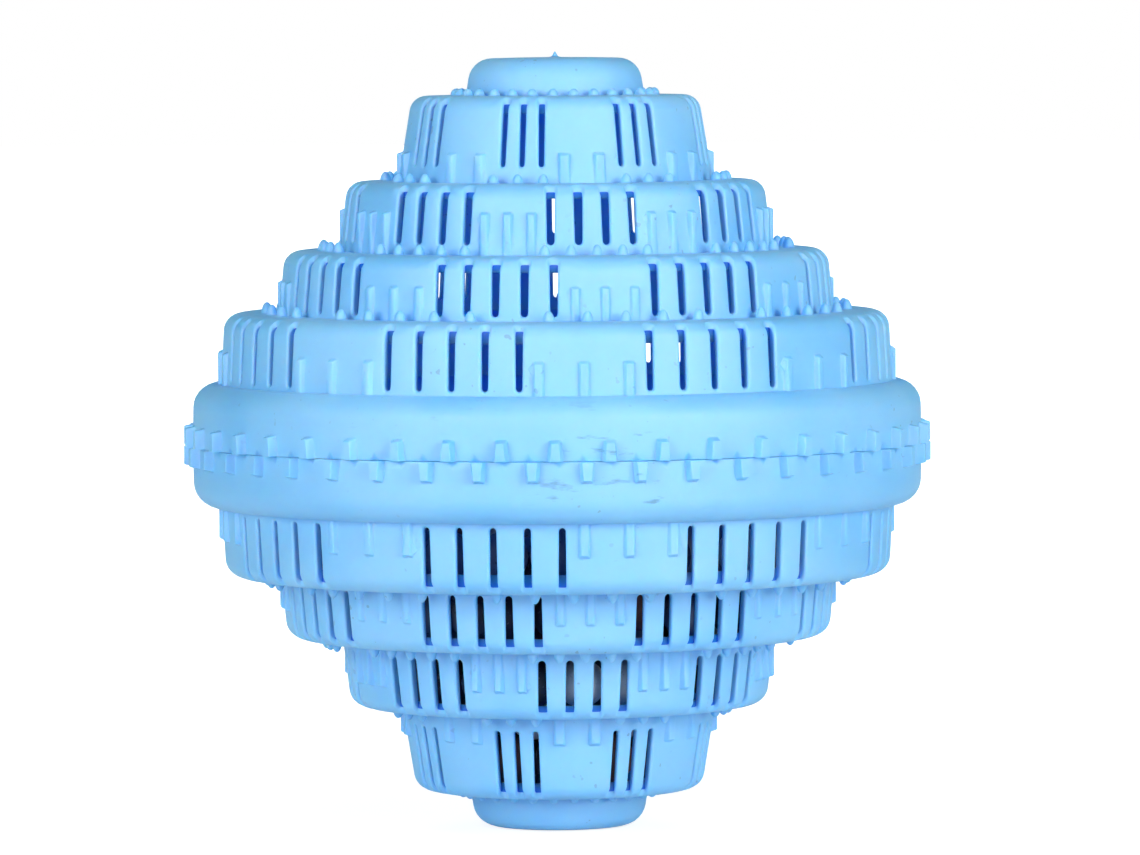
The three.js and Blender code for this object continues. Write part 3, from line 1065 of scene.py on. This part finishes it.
def half_nodes(half):
    """The frame's nodes of one half."""
    return sorted(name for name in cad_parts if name.startswith(f"{half}_"))


def shared_plastic(context):
    """The plastic's three finishes that both halves share, made the first time they are asked for."""
    settings = context.scene.laundry_shell
    dark = (0.0, 0.0, 0.0)
    # glow is painted light, emitted by the inside and by the slots' end faces
    glow = settings.painted_glow
    finishes = {
        "soft_blue_plastic": (settings.colour, (0.3, 0.8, 1.0), 0.5 * MM, 1.0, dark),
        "soft_blue_plastic_inside": (settings.colour, (0.1, 0.36, 1.0), 1.3 * MM, 0.5, glow),
        # Painted shade: the end faces deep in the slots get a deeper blue than the plastic
        "soft_blue_plastic_in_slots": (settings.slot_shade_colour, (0.1, 0.7, 1.0), 3.0 * MM, 0.05, glow),
    }
    return [bpy.data.materials.get(name) or plastic_material(name, *finish)
            for name, finish in finishes.items()]


class LAUNDRY_OT_upper_half(bpy.types.Operator):
    """Make the upper half shell, with the nib that the moulding gate left on its cap"""

    bl_idname = "laundry.upper_half"
    bl_label = "Upper half shell"

    def execute(self, context):
        skin = HalfShell(context.scene.laundry_shell, with_nib=True).build()
        piece = skin.to_object("upper_half_moulding", Matrix.Translation((0.0, 0.0, SEAM_HEIGHT)))
        own_material(piece, *shared_plastic(context))
        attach(piece, "upper_half")
        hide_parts(*half_nodes("upper_half"))
        return {"FINISHED"}


class LAUNDRY_OT_lower_half(bpy.types.Operator):
    """Make the lower half shell: the same moulding, turned over"""

    bl_idname = "laundry.lower_half"
    bl_label = "Lower half shell"

    def execute(self, context):
        skin = HalfShell(context.scene.laundry_shell, with_nib=False).build()
        axis = Vector(ring_points(TURN_OVER_ANGLE, 1.0, 0.0))
        place = Matrix.Translation((0.0, 0.0, SEAM_HEIGHT)) @ Matrix.Rotation(math.pi, 4, axis)
        piece = skin.to_object("lower_half_moulding", place)
        own_material(piece, *shared_plastic(context))
        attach(piece, "lower_half")
        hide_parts(*half_nodes("lower_half"))
        return {"FINISHED"}


# The charge: its gap to the shell and how narrow a ball may be. It starts as a loose lattice, in units of the
# ball's diameter or of the lattice's pitch, is shaken, let down step by step and then left to spread.
BALL_GAP = 0.15
OUT_OF_ROUND = 0.975
LATTICE_PITCH = 1.06
LATTICE_REACH = 7
LAYER_RISE = 0.8165
ROW_STEP = 0.866
LAYER_SHIFT = 0.2887
LATTICE_SLACK = 0.2
LATTICE_APART = 0.9
SHAKE = 1.0
SETTLING_STEPS = 260
SINKING_STEPS = 200
SINK = 0.12
PUSH_PASSES = 2
PUSH_SHARE = 0.6
NEARLY_ZERO = 1e-6

BALL_COLOURS = ("white", "grey", "brown", "black")
BALL_SHARES = (0.13, 0.47, 0.16, 0.24)
BALL_SPECKS = {
    "white": (0.42, 0.38, 0.33),
    "grey": (0.05, 0.05, 0.055),
    "brown": (0.07, 0.032, 0.026),
    "black": (0.14, 0.14, 0.15),
}


def ball_nodes(colour):
    """The frame's ball nodes of one colour."""
    return sorted(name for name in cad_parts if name.startswith(f"ceramic_ball_{colour}_"))


def ball_centre(node):
    low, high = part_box(node)
    return np.array((low + high) / 2) / MM


def lower_hollow(wall, clearance):
    """Rooms of the lower half for a ball's middle: each a floor height and a radius, from the foot up."""
    rooms = []
    walls = [CAP, *reversed(STEPS)]
    for room in walls:
        floor = HALF_HEIGHT - room.ledge + wall + clearance
        rooms.append((floor, room.head - wall - clearance))
    return rooms


def held_inside(points, rooms):
    """Moves points that are in a wall or a ledge the short way back into the hollow."""
    radius = np.hypot(points[:, 0], points[:, 1])
    best = np.full(len(points), np.inf)
    answer = points.copy()
    for floor, reach in rooms:
        lift = np.maximum(floor - points[:, 2], 0.0)
        pull = np.maximum(radius - reach, 0.0)
        cost = lift ** 2 + pull ** 2
        better = cost < best
        share = np.where(radius > NEARLY_ZERO, (radius - pull) / np.maximum(radius, NEARLY_ZERO), 1.0)
        moved = np.column_stack([points[:, :2] * share[:, None], points[:, 2] + lift])
        answer[better] = moved[better]
        best = np.minimum(best, cost)
    return answer


def settled_balls(fixed, diameter, fill_height, rooms, seed):
    """Places for the rest of the charge: a loose lattice over the lowest balls, shaken and let down."""
    rng = np.random.default_rng(seed)
    pitch = diameter * LATTICE_PITCH
    reach = rooms[-1][1]
    heights = np.arange(rooms[0][0], fill_height - diameter / 2, pitch * LAYER_RISE)
    places = []
    for layer, height in enumerate(heights):
        for row in np.arange(-LATTICE_REACH, LATTICE_REACH + 1):
            for column in np.arange(-LATTICE_REACH, LATTICE_REACH + 1):
                x = (column + 0.5 * (row % 2) + 0.5 * (layer % 2)) * pitch
                y = (row * ROW_STEP + LAYER_SHIFT * (layer % 2)) * pitch
                places.append((x, y, height))
    places = np.array(places)
    places = places[np.hypot(places[:, 0], places[:, 1]) < reach]
    inside = np.abs(held_inside(places, rooms) - places).max(axis=1) < diameter * LATTICE_SLACK
    places = places[inside]
    apart = np.linalg.norm(places[:, None] - fixed[None], axis=2).min(axis=1)
    loose = places[apart > diameter * LATTICE_APART]
    loose = loose + rng.uniform(-SHAKE, SHAKE, loose.shape)
    count = len(loose)
    for step in range(SETTLING_STEPS):
        loose[:, 2] -= SINK if step < SINKING_STEPS else 0.0
        for _ in range(PUSH_PASSES):
            everything = np.concatenate([loose, fixed])
            between = loose[:, None] - everything[None]
            distance = np.linalg.norm(between, axis=2)
            distance[np.arange(count), np.arange(count)] = np.inf
            overlap = np.maximum(diameter - distance, 0.0)
            weight = np.where(np.arange(len(everything)) < count, 0.5, 1.0)
            push = between / np.maximum(distance, NEARLY_ZERO)[..., None] * (overlap * weight)[..., None]
            loose = held_inside(loose + push.sum(axis=1) * PUSH_SHARE, rooms)
    return loose


def ball_mesh(diameter):
    """One round ball as points and triangles about its middle."""
    work = bmesh.new()
    bmesh.ops.create_icosphere(work, subdivisions=3, radius=diameter / 2)
    points = np.array([v.co for v in work.verts])
    faces = np.array([[v.index for v in face.verts] for face in work.faces])
    work.free()
    return points, faces


class LAUNDRY_OT_ball_charge(bpy.types.Operator):
    """Make the ceramic balls: those of the frame where they lie, and the rest of the charge on top of them"""

    bl_idname = "laundry.ball_charge"
    bl_label = "Ceramic balls"

    def execute(self, context):
        settings = context.scene.laundry_balls
        rng = np.random.default_rng(settings.seed)
        diameter = settings.diameter / MM
        nodes = {colour: ball_nodes(colour) for colour in BALL_COLOURS}
        centres = {colour: [ball_centre(node) for node in nodes[colour]] for colour in BALL_COLOURS}
        fixed = np.concatenate([centres[colour] for colour in BALL_COLOURS])
        rooms = lower_hollow(context.scene.laundry_shell.wall / MM, diameter / 2 + BALL_GAP)
        loose = settled_balls(fixed, diameter, settings.fill_height / MM, rooms, settings.seed)
        draws = np.random.default_rng(settings.colour_seed)
        for place, colour in zip(loose, draws.choice(BALL_COLOURS, len(loose), p=BALL_SHARES)):
            centres[colour].append(place)
        points, faces = ball_mesh(diameter)
        for colour in BALL_COLOURS:
            skin = Skin()
            for centre in centres[colour]:
                stretch = rng.uniform(OUT_OF_ROUND, 1.0, 3)
                skin.add(points * stretch + centre, faces)
            piece = skin.to_object(f"{colour}_ceramic_balls", sharp=80.0)
            own_material(piece, ceramic_material(colour, getattr(settings, colour), BALL_SPECKS[colour]))
            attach(piece, "ball_charge")
            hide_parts(*nodes[colour])
        return {"FINISHED"}


def light_path(wire, name):
    """One of the outputs that tell what kind of ray looks at a surface."""
    path = wire.node("ShaderNodeLightPath")
    return Wire(wire.tree, path.socket.node.outputs[name])


def floor_material():
    """A pale, bright floor that the camera sees as white, apart from the ball's soft shadow."""
    material, wire, shader, place = new_material("pale_floor")
    feed(shader, Base_Color=(0.85, 0.85, 0.85, 1.0), Roughness=0.9, Specular_IOR_Level=0.0)
    blank = wire.node("ShaderNodeEmission", None, {"Color": WHITE, "Strength": 1.5})
    distance = wire.node("ShaderNodeVectorMath", {"operation": "LENGTH"}, {0: place}, out=1)
    white_share = FLOOR_WHITE + distance.between(*FLOOR_FADE) * (1.0 - FLOOR_WHITE)
    seen = light_path(wire, "Is Camera Ray") * white_share
    surface = Wire(wire.tree, shader.outputs["BSDF"])
    mixed = wire.node("ShaderNodeMixShader", None, {0: seen, 1: surface, 2: blank})
    feed(wire.tree.nodes["Material Output"], Surface=mixed)
    return material


def area_lamp(name, place, size, power, mirrored=True, lights=True):
    """A soft square lamp aimed at the ball's middle, with or without reflections and diffuse light."""
    data = bpy.data.lights.new(name, "AREA")
    data.shape = "SQUARE"
    data.size = size
    data.energy = power
    lamp = bpy.data.objects.new(name, data)
    lamp.location = place
    aim = Vector((0.0, 0.0, SEAM_HEIGHT)) - Vector(place)
    lamp.rotation_euler = aim.to_track_quat("-Z", "Y").to_euler()
    lamp.visible_glossy = mirrored
    lamp.visible_diffuse = lights
    bpy.context.scene.collection.objects.link(lamp)


class LAUNDRY_OT_stage(bpy.types.Operator):
    """Make the camera, the lamps, the surround and the pale floor"""

    bl_idname = "laundry.stage"
    bl_label = "Stage"

    def execute(self, context):
        settings = context.scene.laundry_stage
        scene = context.scene
        scene.view_settings.view_transform = "Standard"
        self.camera(scene, settings)
        self.floor(scene)
        self.surround(scene, settings)
        area_lamp("front_lamp", *FRONT_LAMP, settings.front_power, lights=False)
        area_lamp("key_lamp", *KEY_LAMP, settings.key_power)
        area_lamp("left_lamp", *LEFT_LAMP, settings.left_power)
        area_lamp("right_lamp", *RIGHT_LAMP, settings.right_power)
        area_lamp("back_lamp", *BACK_LAMP, settings.back_power, mirrored=False)
        return {"FINISHED"}

    @staticmethod
    def camera(scene, settings):
        data = bpy.data.cameras.new("camera")
        data.sensor_width = 36.0
        data.lens = settings.focal_length
        data.clip_end = 20.0
        camera = bpy.data.objects.new("camera", data)
        place = Vector((0.0, -settings.distance, SEAM_HEIGHT + settings.eye_height))
        aim = Vector((settings.aim_right, 0.0, SEAM_HEIGHT + settings.aim_up))
        turn = (aim - place).to_track_quat("-Z", "Y").to_matrix().to_4x4()
        camera.matrix_world = Matrix.Translation(place) @ turn @ Matrix.Rotation(-settings.roll, 4, "Z")
        scene.collection.objects.link(camera)
        scene.camera = camera

    @staticmethod
    def floor(scene):
        reach = FLOOR_REACH
        corners = [(-reach, -reach, 0.0), (reach, -reach, 0.0), (reach, reach, 0.0), (-reach, reach, 0.0)]
        mesh = bpy.data.meshes.new("floor")
        mesh.from_pydata(corners, [], [(0, 1, 2, 3)])
        floor = bpy.data.objects.new("floor", mesh)
        scene.collection.objects.link(floor)
        own_material(floor, floor_material())

    @staticmethod
    def surround(scene, settings):
        world = bpy.data.worlds.new("surround")
        world.use_nodes = True
        scene.world = world
        wire = Wire(world.node_tree)
        straight = light_path(wire, "Is Camera Ray")
        mirrored = light_path(wire, "Is Glossy Ray")
        strength = settings.surround + straight * (1.0 - settings.surround) - mirrored * settings.surround
        back = world.node_tree.nodes["Background"]
        feed(back, Color=WHITE, Strength=strength)


class LAUNDRY_PT_sidebar(bpy.types.Panel):
    """Sizes, colours and the steps that make the ball"""

    bl_idname = "LAUNDRY_PT_sidebar"
    bl_label = "Laundry Ball"
    bl_space_type = "VIEW_3D"
    bl_region_type = "UI"
    bl_category = "Laundry Ball"

    def draw(self, context):
        scene = context.scene
        for group in (scene.laundry_stage, scene.laundry_shell, scene.laundry_balls):
            box = self.layout.box()
            for name in group.bl_rna.properties.keys():
                if name not in {"rna_type", "name"}:
                    box.prop(group, name)
        for operator in OPERATORS:
            self.layout.operator(operator.bl_idname)


OPERATORS = (LAUNDRY_OT_stage, LAUNDRY_OT_upper_half, LAUNDRY_OT_lower_half, LAUNDRY_OT_ball_charge)
CLASSES = (ShellSettings, BallSettings, StageSettings, *OPERATORS, LAUNDRY_PT_sidebar)


def register():
    for cls in CLASSES:
        bpy.utils.register_class(cls)
    bpy.types.Scene.laundry_shell = PointerProperty(type=ShellSettings)
    bpy.types.Scene.laundry_balls = PointerProperty(type=BallSettings)
    bpy.types.Scene.laundry_stage = PointerProperty(type=StageSettings)


def unregister():
    del bpy.types.Scene.laundry_stage
    del bpy.types.Scene.laundry_balls
    del bpy.types.Scene.laundry_shell
    for cls in reversed(CLASSES):
        bpy.utils.unregister_class(cls)


def main():
    register()
    bpy.ops.laundry.stage()
    bpy.ops.laundry.upper_half()
    bpy.ops.laundry.lower_half()
    bpy.ops.laundry.ball_charge()


if __name__ == "__main__":
    main()
